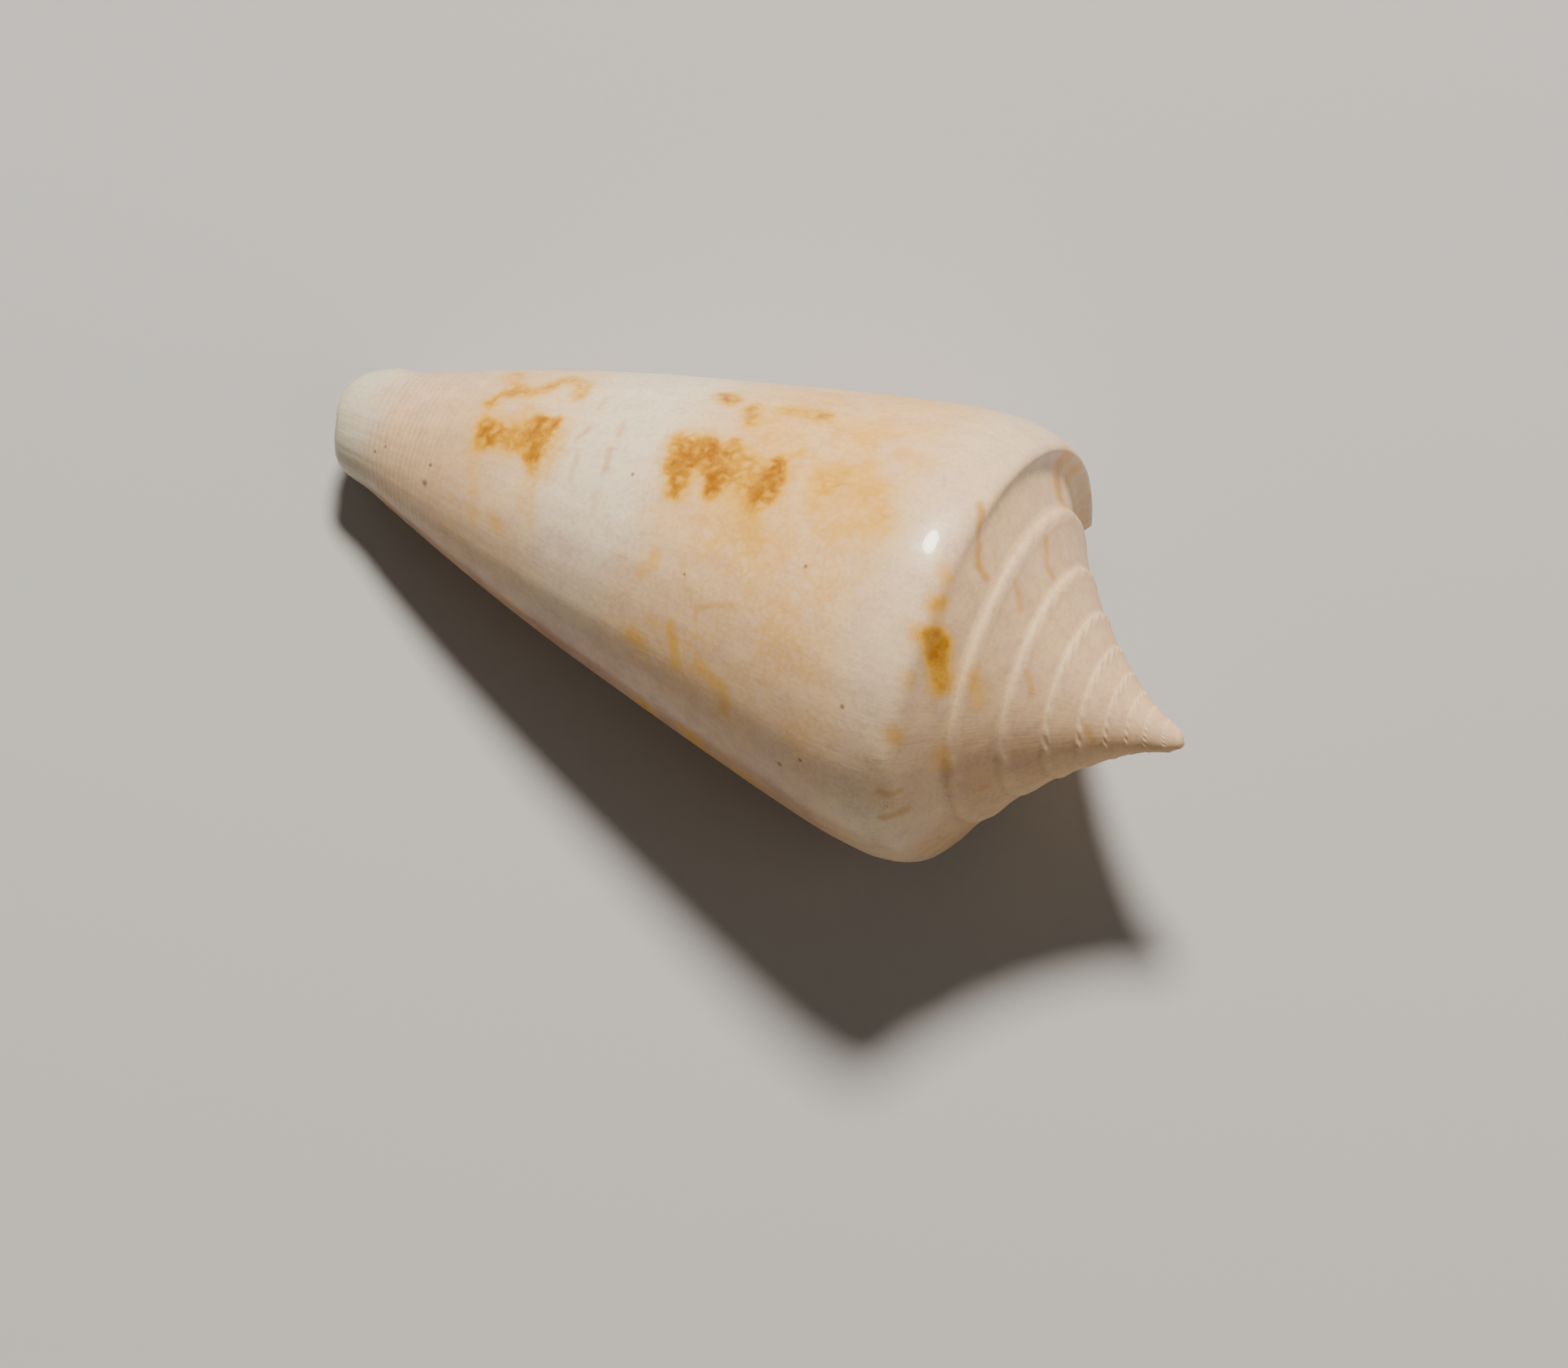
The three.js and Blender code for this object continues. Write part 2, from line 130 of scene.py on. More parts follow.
# Blotches of amber
SIDE_BLOTCHES = [
    # Above the base: its body, its dark end with a tip and a tail, and the haze round it
    (0.78, 0.34, [(71, 0.736), (69, 0.670)]),
    (0.45, 0.55, [(68, 0.730), (68, 0.660)]),
    (0.60, 0.22, [(66, 0.746), (76, 0.732)]),
    (1.00, 0.26, [(59, 0.660), (64, 0.654), (70, 0.648), (74, 0.646)]),
    (0.85, 0.15, [(57, 0.634), (62, 0.638)]),
    (0.40, 0.16, [(74, 0.646), (80, 0.640)]),
    (0.45, 0.34, [(61, 0.626), (71, 0.612), (79, 0.618)]),
    (0.72, 0.22, [(51, 0.758), (45, 0.748), (41, 0.730), (42, 0.710), (39, 0.690)]),
    (0.62, 0.28, [(22, 0.766), (41, 0.734)]),
    (0.68, 0.24, [(34, 0.684), (26, 0.672), (32, 0.636), (40, 0.630)]),
    (0.40, 0.20, [(53, 0.690), (59, 0.678)]),
    (0.30, 0.16, [(54, 0.762), (66, 0.746)]),
    (0.30, 0.20, [(78, 0.746), (99, 0.724)]),
    (0.30, 0.16, [(82, 0.634), (101, 0.606)]),
    (0.25, 0.16, [(90, 0.642), (99, 0.630)]),
    (0.42, 0.20, [(109, 0.672), (110, 0.666)]),
    (0.30, 0.20, [(110, 0.714), (114, 0.708)]),
    # Middle band: three blotches side by side, the middle one forked, and the haze between them
    (0.85, 0.26, [(65, 0.416), (62, 0.390)]),
    (1.00, 0.32, [(61, 0.406), (66, 0.400), (70, 0.396), (73, 0.392)]),
    (0.60, 0.38, [(56, 0.424), (56, 0.386)]),
    (1.00, 0.24, [(55, 0.380), (62, 0.358), (66, 0.342), (71, 0.334)]),
    (0.80, 0.20, [(52, 0.342), (59, 0.336), (66, 0.332)]),
    (0.90, 0.24, [(56, 0.260), (61, 0.252), (66, 0.250)]),
    (1.00, 0.32, [(63, 0.250), (68, 0.252)]),
    (0.60, 0.16, [(55, 0.256), (51, 0.234)]),
    (0.50, 0.55, [(60, 0.320), (66, 0.276)]),
    (0.60, 0.60, [(59, 0.405), (60, 0.360), (62, 0.300), (64, 0.262)]),
    (0.45, 0.28, [(73, 0.264), (76, 0.240), (82, 0.236)]),
    # Upper side
    (0.90, 0.28, [(29, 0.414), (32, 0.396)]),
    (0.75, 0.24, [(35, 0.356), (42, 0.340)]),
    (0.70, 0.26, [(34, 0.306), (34, 0.292)]),
    (0.85, 0.28, [(34, 0.262), (34, 0.242)]),
    # Pale patch before the shoulder
    (0.55, 0.50, [(58, 0.170), (56, 0.134), (59, 0.092), (67, 0.062)]),
    (0.32, 0.45, [(64, 0.162), (70, 0.122)]),
    (0.30, 0.30, [(45, 0.088), (46, 0.056)]),
    # Lower side
    (0.42, 0.15, [(94, 0.384), (98, 0.380), (102, 0.398)]),
    (0.60, 0.18, [(125, 0.396), (125, 0.374)]),
    (0.55, 0.15, [(114, 0.326), (118, 0.320), (122, 0.314), (126, 0.308)]),
    (0.40, 0.18, [(122, 0.268), (124, 0.234), (126, 0.218), (133, 0.214)]),
    (0.25, 0.16, [(115, 0.366), (116, 0.354)]),
    (0.12, 0.40, [(104, 0.162), (104, 0.126)]),
    (0.12, 0.40, [(106, 0.078), (109, 0.060)]),
    (0.20, 0.20, [(132, 0.380), (132, 0.364)]),
    (0.65, 0.26, [(160, 0.385), (171, 0.370)]),
    (0.50, 0.34, [(158, 0.30), (166, 0.285), (172, 0.29)]),
    (0.40, 0.30, [(162, 0.20), (170, 0.19)]),
    # Round the back
    (0.8, 0.36, [(-28, 0.70), (-30, 0.66)]),
    (0.7, 0.24, [(-36, 0.685), (-22, 0.665)]),
    (0.8, 0.40, [(-20, 0.41), (-24, 0.37)]),
    (0.7, 0.26, [(-14, 0.36), (-24, 0.345)]),
    (0.6, 0.30, [(-34, 0.30), (-30, 0.26)]),
    (0.7, 0.36, [(205, 0.69), (212, 0.65)]),
    (0.8, 0.42, [(212, 0.40), (220, 0.38)]),
    (0.8, 0.26, [(210, 0.35), (222, 0.34)]),
    (0.6, 0.34, [(236, 0.27), (228, 0.25)]),
    (0.6, 0.34, [(276, 0.40), (282, 0.37)]),
    (0.6, 0.30, [(270, 0.70), (276, 0.66)]),
]
RAMP_BLOTCHES = [
    # The big one on the last shoulder, with its wing
    (0.85, 0.34, [(9.616, 0.50), (9.609, 0.38)]),
    (0.75, 0.35, [(9.609, 0.38), (9.595, 0.28), (9.584, 0.20)]),
    (0.70, 0.20, [(9.614, 0.81), (9.616, 0.60)]),
    # Spots beside it
    (0.70, 0.22, [(9.638, 0.74), (9.641, 0.62)]),
    (0.50, 0.20, [(9.661, 0.79), (9.659, 0.72)]),
    (0.30, 0.20, [(9.582, 0.76), (9.580, 0.70)]),
    (0.40, 0.20, [(9.539, 0.79), (9.534, 0.64)]),
    (0.30, 0.24, [(9.512, 0.06), (9.495, 0.0)]),
    (0.40, 0.20, [(8.598, 0.75), (8.584, 0.60), (8.571, 0.50)]),
    # Orange in the channel near the lip
    (0.64, 0.44, [(9.864, 0.52), (9.858, 0.35), (9.856, 0.21)]),
    (0.55, 0.28, [(9.856, 0.21), (9.857, 0.06)]),
    (0.60, 0.24, [(9.900, 0.56), (9.890, 0.40)]),
    # Round the back
    (0.80, 0.34, [(9.24, 0.62), (9.23, 0.40)]),
    (0.40, 0.20, [(9.31, 0.76), (9.30, 0.66)]),
    (0.40, 0.20, [(9.10, 0.74), (9.09, 0.66)]),
]

# Thin strokes
SIDE_STROKES = [
    # On the white band
    (0.50, 0.13, [(63, 0.586), (58, 0.576)]),
    (0.42, 0.13, [(80, 0.566), (71, 0.570)]),
    (0.40, 0.13, [(58, 0.524), (52, 0.530)]),
    (0.45, 0.13, [(73, 0.516), (65, 0.524)]),
    (0.30, 0.13, [(90, 0.506), (82, 0.516)]),
    (0.35, 0.13, [(46, 0.582), (40, 0.584)]),
    # Tent line on the lower side
    (0.45, 0.12, [(108, 0.288), (105, 0.290), (102, 0.262), (100, 0.238), (101, 0.222)]),
    (0.30, 0.12, [(94, 0.336), (100, 0.316), (103, 0.304)]),
]
RAMP_STROKES = [
    # Crescent on the last shoulder
    (0.85, 0.17, [
        (9.720, 0.82), (9.714, 0.74), (9.705, 0.64), (9.699, 0.44), (9.688, 0.34), (9.684, 0.15),
    ]),
    (0.80, 0.18, [(9.458, 0.82), (9.458, 0.69), (9.455, 0.46)]),
    (0.65, 0.15, [(9.487, 0.84), (9.482, 0.74), (9.482, 0.54)]),
    # Curved strokes on the ramps of the spire
    (0.70, 0.15, [(8.779, 0.68), (8.771, 0.49), (8.761, 0.34), (8.763, 0.09)]),
    (0.55, 0.15, [(8.705, 0.72), (8.700, 0.52), (8.688, 0.32)]),
    (0.50, 0.15, [(7.623, 0.68), (7.613, 0.53), (7.594, 0.38)]),
    (0.50, 0.13, [(5.549, 0.59), (5.505, 0.28)]),
    (0.45, 0.15, [(8.435, 0.32), (8.43, 0.2)]),
    (0.50, 0.15, [(9.12, 0.6), (9.11, 0.4)]),
    (0.50, 0.15, [(8.93, 0.5), (8.92, 0.3)]),
    (0.50, 0.15, [(9.34, 0.6), (9.33, 0.35)]),
    (0.50, 0.15, [(8.22, 0.7), (8.20, 0.4)]),
]

# Small dark specks on the side: degrees, share of the way to the base, and radius
SPECKS = [
    (72, 0.47, 0.08), (97, 0.325, 0.06), (83, 0.14, 0.08), (140, 0.114, 0.12), (134, 0.076, 0.09),
    (113, 0.018, 0.10), (106, 0.917, 0.07), (98, 0.9, 0.06), (109, 0.812, 0.12), (97, 0.81, 0.08),
]
BLOTCH_FADE = (0.4, 2.4)  # where a blotch starts and ends to fade, in half widths
LINE_MARGIN = 0.3  # mm round a stroke where its distances are kept

# Tones of the side: shares of the way from the shoulder to the base, and the tone's strength there
SIDE_BANDS = {
    "white": (
        [0, 0.04, 0.12, 0.38, 0.48, 0.56, 0.64, 0.8, 1],
        [0.5, 0.4, 0.15, 0.1, 0.95, 0.95, 0.4, 0.15, 0],
    ),
    "peach": (
        [0, 0.05, 0.15, 0.3, 0.46, 0.6, 0.7, 0.8, 1],
        [0.15, 0.5, 1, 0.8, 0, 0, 0.3, 0.2, 0],
    ),
    "tan_and_shade": (
        [0, 0.1, 0.64, 0.78, 0.9, 1],
        [0.1, 0, 0, 0.35, 0.4, 0.1],
    ),
    "net": (
        [0.02, 0.08, 0.3, 0.44, 0.5, 0.6, 0.66, 0.78, 0.85],
        [0, 0.8, 1, 0.6, 0.1, 0.15, 0.8, 0.6, 0],
    ),
}

# Photo's viewpoint: where the middle of the axis lies in the picture, from the shell's own axes
VIEW_ROLL = 21.25  # degrees that the axis leans in the picture
VIEW_LEAN = 19.0  # degrees that the apex comes towards the camera
VIEW_DISTANCE = 260
VIEW_WIDTH = 50.56  # width of the picture where the shell is
VIEW_SHIFT = (0.676, -3.293)  # from the middle of the axis to the picture's centre
SENSOR_WIDTH = 36

# Studio, in metres and watts; a light's bearing is its way right, up and towards the camera
LIGHTS = {
    "key": {
        "bearing": (0.05, 0.88, 0.84), "distance": 0.4, "size": 0.08,
        "power": 3.2, "colour": (1, 0.94, 0.86),
    },
    "fill": {
        "bearing": (0.6, -0.2, 0.8), "distance": 0.5, "size": 0.4,
        "power": 0.24, "colour": (1, 0.88, 0.78),
    },
}
WORLD_COLOUR = (1, 0.93, 0.86, 1)
WORLD_STRENGTH = 0.1
FLOOR_COLOUR = (0.45, 0.45, 0.44, 1)
FLOOR_ROUGHNESS = 0.9
FLOOR_HALF = 0.6


def smooth(start, end, x):
    y = np.clip((x - start) / (end - start), 0, 1)
    return y * y * (3 - 2 * y)


def bump(x, middle, spread):
    return np.exp(-((x - middle) / spread) ** 2)


def curve(points, column):
    """A curve through the points that never overshoots them."""
    xs = np.array([point[0] for point in points], float)
    ys = np.array([point[column] for point in points], float)
    gaps = np.diff(xs)
    slopes = np.diff(ys) / gaps

    def end_slope(gap, after, slope, next_slope):
        value = ((2 * gap + after) * slope - gap * next_slope) / (gap + after)
        if value * slope <= 0:
            return 0
        return 3 * slope if slope * next_slope <= 0 and abs(value) > 3 * abs(slope) else value

    tangents = np.zeros(len(xs))
    tangents[0] = end_slope(gaps[0], gaps[1], slopes[0], slopes[1])
    tangents[-1] = end_slope(gaps[-1], gaps[-2], slopes[-1], slopes[-2])
    for k in range(1, len(xs) - 1):
        if slopes[k - 1] * slopes[k] > 0:
            before = 2 * gaps[k] + gaps[k - 1]
            after = gaps[k] + 2 * gaps[k - 1]
            tangents[k] = (before + after) / (before / slopes[k - 1] + after / slopes[k])

    def value(x):
        x = np.clip(x, xs[0], xs[-1])
        k = np.clip(np.searchsorted(xs, x, side="right") - 1, 0, len(gaps) - 1)
        s = (x - xs[k]) / gaps[k]
        rest = 1 - s
        return (
            (1 + 2 * s) * rest * rest * ys[k] + s * rest * rest * gaps[k] * tangents[k]
            + s * s * (3 - 2 * s) * ys[k + 1] - s * s * rest * gaps[k] * tangents[k + 1]
        )

    return value


crest_depth = curve(SPIRE, 1)
side_share = curve(SIDE, 1)
early_ramp = (curve(EARLY_RAMP, 1), curve(EARLY_RAMP, 2))
last_ramp = (curve(LAST_RAMP, 1), curve(LAST_RAMP, 2))
lip_ramp = (curve(LIP_RAMP, 1), curve(LIP_RAMP, 2))


# The whorl's section

def shoulder_radius(t):
    t = np.maximum(t, 0)
    middle = TURNS - 0.65
    swell = LAST_SWELL * (smooth(TURNS - 1.2, middle, t) - smooth(middle, TURNS - 0.1, t))
    return RIM_RADIUS * GROWTH ** (t - TURNS) * (1 + swell) * (1 - np.exp(-APEX_BLUNTNESS * t))


def ramp_shape(t, q, part):
    last = smooth(TURNS - 1.35, TURNS - 0.45, t)
    near_lip = smooth(TURNS - 0.4, TURNS - 0.1, t)
    late = last_ramp[part](q) * (1 - near_lip) + lip_ramp[part](q) * near_lip
    return early_ramp[part](q) * (1 - last) + late * last


def edge_depth(t):
    """Depth of the shoulder's outermost line, where the next whorl is laid on."""
    radius = shoulder_radius(t)
    depth = crest_depth(radius) - ramp_shape(t, 1.0, 1) * (radius - shoulder_radius(t - 1))
    return np.where(t > 0, depth, 0)


def ramp_point(t, q):
    radius = shoulder_radius(t)
    inner = shoulder_radius(t - 1)
    top = edge_depth(t - 1)
    x = ramp_shape(t, q, 0)
    ridge = smooth(0.45, 0.72, q) * (1 - smooth(0.74, 1, q))
    lift = LIP_LIFT * smooth(TURNS - 0.22, TURNS, t) * ridge
    depth = top + (crest_depth(radius) - top) * x - ramp_shape(t, q, 1) * (radius - inner) - lift
    return inner + (radius - inner) * x, depth


def side_point(t, w):
    top = edge_depth(t)
    taper = BASE_TAPER * (TURNS - 0.13 - t) + 0.25 * smooth(TURNS - 0.6, TURNS - 1, t)
    flare = BASE_FLARE * smooth(TURNS - 0.12, TURNS, t) * w
    degrees = LIP_ANGLE - 360 * (t - TURNS)
    fold = BASE_FOLD * bump(degrees, BASE_FOLD_ANGLE, BASE_FOLD_SPREAD)
    fold = fold * bump(w, BASE_FOLD_PLACE, BASE_FOLD_WIDTH)
    reach = BASE_REACH * bump(degrees, BASE_REACH_ANGLE, BASE_REACH_SPREAD) * smooth(0.86, 1, w)
    radius = shoulder_radius(t) * side_share(w) * (1 - w * w * (taper - flare)) + fold
    return radius, top + (LENGTH - top) * w + reach


def ramp_slant(q):
    return RAMP_SLANT * np.sin(np.pi * q)


def side_slant(w):
    return SIDE_BOW * np.sin(np.pi * w) - SIDE_LAG * w * w


def hollow_reach(t):
    return 1 - 0.6 * smooth(TURNS - SLIT_TURNS, TURNS - CAVITY_TURNS, t)


# The shell's own axes where it rests
tilt = np.radians(REST_TILT)
AXIS = np.array([np.cos(tilt), 0, np.sin(tilt)])
UP = np.array([-np.sin(tilt), 0, np.cos(tilt)])
ACROSS = np.cross(AXIS, UP)


def place(t, radius, depth):
    angle = np.radians(LIP_ANGLE - 360 * (t - TURNS) - UP_ANGLE)[..., None]
    radius = np.asarray(radius)[..., None]
    depth = np.asarray(depth)[..., None]
    return APEX_PLACE + radius * (np.cos(angle) * UP + np.sin(angle) * ACROSS) - depth * AXIS


# The mesh

class Surface:
    """Vertices and triangles, with a turn and a distance from the shoulder for each corner."""

    def __init__(self):
        self.points = []
        self.count = 0
        self.triangles = []
        self.corners = []

    def add(self, points):
        points = np.asarray(points, float)
        shape = points.shape[:-1]
        index = self.count + np.arange(int(np.prod(shape))).reshape(shape)
        self.points.append(points.reshape(-1, 3))
        self.count += index.size
        return index

    def positions(self):
        return np.concatenate(self.points)

    def faces(self, index, corners):
        a, b, c = index.T
        keep = (a != b) & (b != c) & (c != a)
        self.triangles.append(index[keep])
        self.corners.append(corners[keep])

    def sheet(self, index, corners, faces_out=True):
        """Two triangles for each cell of a grid of vertices, given as columns of rows."""
        first, second = slice(None, -1), slice(1, None)
        a, b, c, d = (first, first), (second, first), (second, second), (first, second)
        for trio in (((a, b, c), (a, c, d)) if faces_out else ((a, c, b), (a, d, c))):
            self.faces(
                np.stack([index[k].ravel() for k in trio], axis=1),
                np.stack([corners[k].reshape(-1, 2) for k in trio], axis=1),
            )

    def bridge(self, left, right):
        """Triangles between two lines of vertices that run side by side."""
        positions = self.positions()
        lines = []
        for index, _ in (left, right):
            steps = np.linalg.norm(np.diff(positions[index], axis=0), axis=1)
            lengths = np.concatenate([[0], np.cumsum(steps)])
            lines.append(lengths / lengths[-1])
        k = [0, 0]
        made = []
        while k[0] < len(lines[0]) - 1 or k[1] < len(lines[1]) - 1:
            ahead = [lines[n][k[n] + 1] if k[n] < len(lines[n]) - 1 else np.inf for n in (0, 1)]
            if ahead[0] <= ahead[1]:
                made.append(((0, k[0]), (0, k[0] + 1), (1, k[1])))
                k[0] += 1
            else:
                made.append(((0, k[0]), (1, k[1] + 1), (1, k[1])))
                k[1] += 1
        sides = (left, right)
        self.faces(
            np.array([[sides[n][0][m] for n, m in trio] for trio in made]),
            np.array([[sides[n][1][m] for n, m in trio] for trio in made]),
        )

    def fan(self, middle, loop, corner):
        ahead = np.roll(loop, -1)
        index = np.stack([np.full(len(loop), middle), loop, ahead], axis=1)
        self.faces(index, np.tile(np.asarray(corner, float), (len(loop), 3, 1)))


# Columns where the parts begin and end
LIP = TURNS * COLUMNS
BODY = LIP - COLUMNS
FIRST = FIRST_TURN * COLUMNS
END = LIP - round(CAVITY_TURNS * COLUMNS)
SLIT = LIP - round(SLIT_TURNS * COLUMNS)


def turns_of(first):
    """Turns from the apex of the columns from the first to the lip."""
    return np.arange(first, LIP + 1)[:, None] / COLUMNS


def corners_of(t, distance):
    return np.stack(np.broadcast_arrays(t, distance), axis=-1)


def ramp_distance(t, q):
    """Distance from the shoulder, negative on the ramp."""
    return (q - 1) * (shoulder_radius(t) - shoulder_radius(t - 1)) * 1.2


def side_distance(t, w):
    return w * (LENGTH - edge_depth(t))


def ramp_sheet(surface):
    """Every ramp; each whorl's shoulder row is the next whorl's suture."""
    columns = np.arange(FIRST, LIP + 1)[:, None]
    q = RAMP_ROWS[None, :]
    t = columns / COLUMNS + ramp_slant(q)
    tongue = smooth(0.1, 0.52, q) * (1 - smooth(0.52, 0.86, q))
    t = t + LIP_TONGUE * smooth(TURNS - 0.2, TURNS, t) * tongue
    points = place(t, *ramp_point(t, q))
    index = np.empty(t.shape, int)
    index[:, :-1] = surface.add(points[:, :-1])
    inside = len(columns) - COLUMNS
    index[:inside, -1] = index[COLUMNS:, 0]
    index[inside:, -1] = surface.add(points[inside:, -1])
    corners = corners_of(t, ramp_distance(t, q))
    surface.sheet(index, corners)
    return index, corners


def side_sheet(surface, shoulder):
    columns = np.arange(BODY, LIP + 1)[:, None]
    w = SIDE_ROWS[None, :]
    t = columns / COLUMNS + side_slant(w)
    index = np.empty(t.shape, int)
    index[:, 0] = shoulder
    index[:, 1:] = surface.add(place(t, *side_point(t, w))[:, 1:])
    corners = corners_of(t, side_distance(t, w))
    surface.sheet(index, corners)
    return index, corners


def core_sheet(surface):
    """The wall of the whorl before, inside the hollow; it draws back from the lip towards the base."""
    columns = np.arange(END - COLUMNS, BODY)[:, None]
    w = HOLLOW_ROWS[None, :]
    t = columns / COLUMNS + side_slant(w)
    reach = np.where(w == HOLLOW_ROWS[0], w, w * hollow_reach(columns / COLUMNS + 1))
    radius, depth = side_point(t, reach)
    radius = radius * (1 - 0.2 * reach * reach * smooth(TURNS - 1, TURNS - 1.2, t))
    index = surface.add(place(t, radius, depth))
    corners = corners_of(t, side_distance(t, w))
    surface.sheet(index, corners)
    return index, corners


def wall_point(column, w):
    """The inside of the outer wall."""
    sharpness = 1 - (1 - LIP_SHARPNESS) * smooth(TURNS - 0.06, TURNS, column / COLUMNS)
    t = column / COLUMNS + side_slant(w)
    reach = w * hollow_reach(column / COLUMNS)
    radius, depth = side_point(t, reach)
    return t, radius - (WALL + (BASE_WALL - WALL) * reach) * sharpness, depth


def ceiling_point(column, s):
    """The hollow's ceiling, from the whorl before to the outer wall."""
    _, end_radius, end_depth = wall_point(column, HOLLOW_ROWS[HOLLOW_TOP])
    w = HOLLOW_ROWS[0]
    t = column / COLUMNS + side_slant(w) + ramp_slant(s)
    radius, depth = side_point(t - 1, w)
    mix = [(1 - s) ** 2, 2 * s * (1 - s), s * s]
    return (
        t, mix[0] * radius + (mix[1] + mix[2]) * end_radius,
        mix[0] * depth + mix[1] * (depth + 0.3) + mix[2] * end_depth,
    )


def inner_sheet(surface, core):
    """The inside of the outer wall, up to the column before the lip."""
    columns = np.arange(END, LIP)[:, None]
    s = np.linspace(0, 1, CEILING_ROWS + 1)[None, :-1]
    ceiling = ceiling_point(columns, s)
    wall = wall_point(columns, HOLLOW_ROWS[None, HOLLOW_TOP:])
    points = np.concatenate([place(*ceiling), place(*wall)], axis=1)
    index = np.empty(points.shape[:-1], int)
    index[:, 0] = core[0][:, 0]
    index[:, 1:] = surface.add(points[:, 1:])
    corners = np.concatenate([
        corners_of(ceiling[0], ramp_distance(ceiling[0], s)),
        corners_of(wall[0], side_distance(wall[0], HOLLOW_ROWS[None, HOLLOW_TOP:])),
    ], axis=1)
    surface.sheet(index, corners, faces_out=False)
    return index, corners


def edge_strips(surface, outside, inside, last, bulges):
    """Rows of vertices from the outer to the inner side of an edge, rounded by the bulges."""
    rows = [outside]
    positions = surface.positions()[outside]
    for share in np.linspace(0, 1, LIP_ROWS + 1)[1:-1]:
        straight = positions + (inside - positions) * share
        rows.append(surface.add(straight + bulges * np.sin(np.pi * share)))
    rows.append(surface.add(inside) if last is None else last)
    return np.stack(rows, axis=0)


def lip_strips(surface, ramp, side):
    """The lip's edge, from the outside of the wall to its inside."""
    outside = np.concatenate([ramp[0][-1, :-1], side[0][-1]])
    corners = np.concatenate([ramp[1][-1, :-1], side[1][-1]])
    positions = surface.positions()[outside]
    top = len(RAMP_ROWS) - 1 + np.searchsorted(SIDE_ROWS, HOLLOW_ROWS[HOLLOW_TOP])
    steps = np.linalg.norm(np.diff(positions[:top + 1], axis=0), axis=1)
    s = np.concatenate([[0], np.cumsum(steps)]) / steps.sum()
    w = SIDE_ROWS[top + 2 - len(RAMP_ROWS):]
    inside = np.concatenate([place(*ceiling_point(LIP, s)), place(*wall_point(LIP, w))])
    forward = np.cross(positions - APEX_PLACE, AXIS)
    forward *= LIP_ROUNDING / np.linalg.norm(forward, axis=1)[:, None]
    index = edge_strips(surface, outside, inside, None, forward)
    index[:, 0] = side[0][0, :LIP_ROWS + 1]
    surface.sheet(index, np.tile(corners, (LIP_ROWS + 1, 1, 1)))
    return index, corners, top


def rim_strips(surface, side, inner, lip):
    """The rim of the slit at the base, from the outside of the wall to its inside."""
    outside = side[0][SLIT - BODY:-1, -1]
    inside = inner[0][SLIT - END:, -1]
    bulge = -0.5 * LIP_ROUNDING * AXIS
    index = edge_strips(surface, outside, surface.positions()[inside], inside, bulge)
    index = np.concatenate([index, lip[0][:, -1:]], axis=1)
    corners = side[1][SLIT - BODY:, -1]
    surface.sheet(index.T, np.tile(corners[:, None], (1, LIP_ROWS + 1, 1)))
    return index


def build_surface():
    surface = Surface()
    ramp = ramp_sheet(surface)
    side = side_sheet(surface, ramp[0][BODY - FIRST:, -1])
    core = core_sheet(surface)
    inner = inner_sheet(surface, core)
    lip_index, lip_corners, top = lip_strips(surface, ramp, side)
    rim = rim_strips(surface, side, inner, (lip_index, lip_corners))

    # The whorl before runs on into the hollow
    surface.bridge((side[0][0, LIP_ROWS:], side[1][0, LIP_ROWS:]), (core[0][-1], core[1][-1]))

    # The inside of the wall runs on to the lip
    wall = (inner[0][-1], inner[1][-1])
    ceiling = (slice(0, top + 1), slice(0, CEILING_ROWS + 1))
    below = (slice(top, None), slice(CEILING_ROWS, None))
    for part, rows in (ceiling, below):
        surface.bridge((wall[0][rows], wall[1][rows]), (lip_index[-1][part], lip_corners[part]))

    # The end of the hollow, and its floor
    surface.bridge((core[0][0], core[1][0]), (inner[0][0], inner[1][0]))
    floor = slice(0, SLIT - END + 1)
    surface.bridge((core[0][floor, -1], core[1][floor, -1]), (inner[0][floor, -1], inner[1][floor, -1]))

    # The solid middle of the base, beside the slit
    loop = np.concatenate([
        core[0][SLIT - END:, -1], side[0][:SLIT - BODY + 1, -1], rim[1:, 0],
    ])
    middle = surface.add(surface.positions()[loop].mean(axis=0)[None])[0]
    surface.fan(middle, loop, side[1][0, -1])

    # The cap over the first turn
    tip = surface.add(APEX_PLACE[None])[0]
    loop = np.concatenate([ramp[0][:COLUMNS + 1, 0], ramp[0][0, -2:0:-1]])[::-1]
    surface.fan(tip, loop, ramp[1][0, 0])
    return surface, ramp, side


def normals_of(points, triangles):
    a, b, c = (points[triangles[:, k]] for k in range(3))
    across = np.cross(b - a, c - a)
    normals = np.zeros_like(points)
    for k in range(3):
        np.add.at(normals, triangles[:, k], across)
    return normals / np.maximum(np.linalg.norm(normals, axis=1), 1e-12)[:, None]


def growth_swell(t):
    """Low swellings across the growth lines, of two sizes and unevenly spaced."""
    large = SWELL * np.sin(2 * np.pi * (SWELLS_PER_TURN * t + 0.1 * np.sin(9 * t)))
    small = 0.5 * SWELL * np.sin(2 * np.pi * (SMALL_SWELLS_PER_TURN * t + 0.2 * np.sin(13 * t)))
    return large + small


def side_relief(t, w):
    return growth_swell(t) * (1 - 0.6 * smooth(0.5, 0.8, w))


def ramp_relief(t, q):
    """Beads on the ridge, clearest on the early whorls, and the swellings of the late ones."""
    ridge = bump(q, RIDGE_PLACE, RIDGE_WIDTH)
    early = 1 - smooth(TURNS - 4.5, TURNS - 2, t)
    wave = np.cos(2 * np.pi * BEADS_PER_TURN * t + 5 * np.sin(3 * t))
    beads = BEAD * (early + 0.3) * ridge * wave * shoulder_radius(t) ** 0.5
    return beads + 0.5 * growth_swell(t) * smooth(TURNS - 4, TURNS - 1, t)


